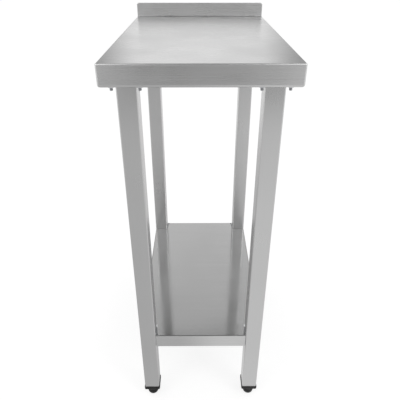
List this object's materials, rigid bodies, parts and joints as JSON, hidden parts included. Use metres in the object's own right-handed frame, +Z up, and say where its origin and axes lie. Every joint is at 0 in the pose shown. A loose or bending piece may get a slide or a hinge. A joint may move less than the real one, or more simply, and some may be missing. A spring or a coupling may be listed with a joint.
{
  "type": "work table",
  "caption": "Narrow stainless steel work table with a rear upstand, a folded undershelf between square tube legs, and levelling feet that screw down.",
  "frame": {"origin": "on the floor, under the middle of the table's outline", "axes": "+X to the right and +Y to the wall as seen by someone who stands at the table's front, +Z up"},
  "size_m": [0.35, 0.6, 0.934],
  "materials": {
    "worktop_steel": "satin, brushed from side to side",
    "shelf_steel": "semi-bright, finely brushed",
    "leg_steel": "satin, brushed along the tube",
    "channel_galvanised": "galvanised, matt",
    "board_laminate": "laminate-faced chipboard",
    "zinc_fastener": "bright zinc plate",
    "foot_plastic": "moulded black plastic, satin"
  },
  "bodies": {
    "table": {"centre_top_channel": "channel_galvanised", "channel_screws": "zinc_fastener", "foot_insert_front_left": "foot_plastic", "foot_insert_front_right": "foot_plastic", "foot_insert_rear_left": "foot_plastic", "foot_insert_rear_right": "foot_plastic", "foot_nuts": "zinc_fastener", "front_top_channel": "channel_galvanised", "leg_front_left": "leg_steel", "leg_front_right": "leg_steel", "leg_plate_front_left": "leg_steel", "leg_plate_front_right": "leg_steel", "leg_plate_rear_left": "leg_steel", "leg_plate_rear_right": "leg_steel", "leg_rear_left": "leg_steel", "leg_rear_right": "leg_steel", "plate_bolts": "zinc_fastener", "plate_nuts": "zinc_fastener", "plate_washers": "zinc_fastener", "rear_apron": "worktop_steel", "rear_top_channel": "channel_galvanised", "shelf": "shelf_steel", "shelf_bolts": "zinc_fastener", "shelf_bracket_front_left": "channel_galvanised", "shelf_bracket_front_right": "channel_galvanised", "shelf_bracket_rear_left": "channel_galvanised", "shelf_bracket_rear_right": "channel_galvanised", "shelf_stiffener": "channel_galvanised", "shelf_weld_nuts": "zinc_fastener", "underlay_board": "board_laminate", "worktop": "worktop_steel"},
    "foot_front_left": {"foot_stud_front_left": "zinc_fastener", "foot_base_front_left": "foot_plastic"},
    "foot_front_right": {"foot_stud_front_right": "zinc_fastener", "foot_base_front_right": "foot_plastic"},
    "foot_rear_left": {"foot_stud_rear_left": "zinc_fastener", "foot_base_rear_left": "foot_plastic"},
    "foot_rear_right": {"foot_stud_rear_right": "zinc_fastener", "foot_base_rear_right": "foot_plastic"}
  },
  "joints": [
    {"name": "foot_front_left_height", "type": "slide", "parent": "table", "child": "foot_front_left", "axis": [0, 0, -1], "range_m": [0, 0.02]},
    {"name": "foot_front_right_height", "type": "slide", "parent": "table", "child": "foot_front_right", "axis": [0, 0, -1], "range_m": [0, 0.02]},
    {"name": "foot_rear_left_height", "type": "slide", "parent": "table", "child": "foot_rear_left", "axis": [0, 0, -1], "range_m": [0, 0.02]},
    {"name": "foot_rear_right_height", "type": "slide", "parent": "table", "child": "foot_rear_right", "axis": [0, 0, -1], "range_m": [0, 0.02]}
  ]
}
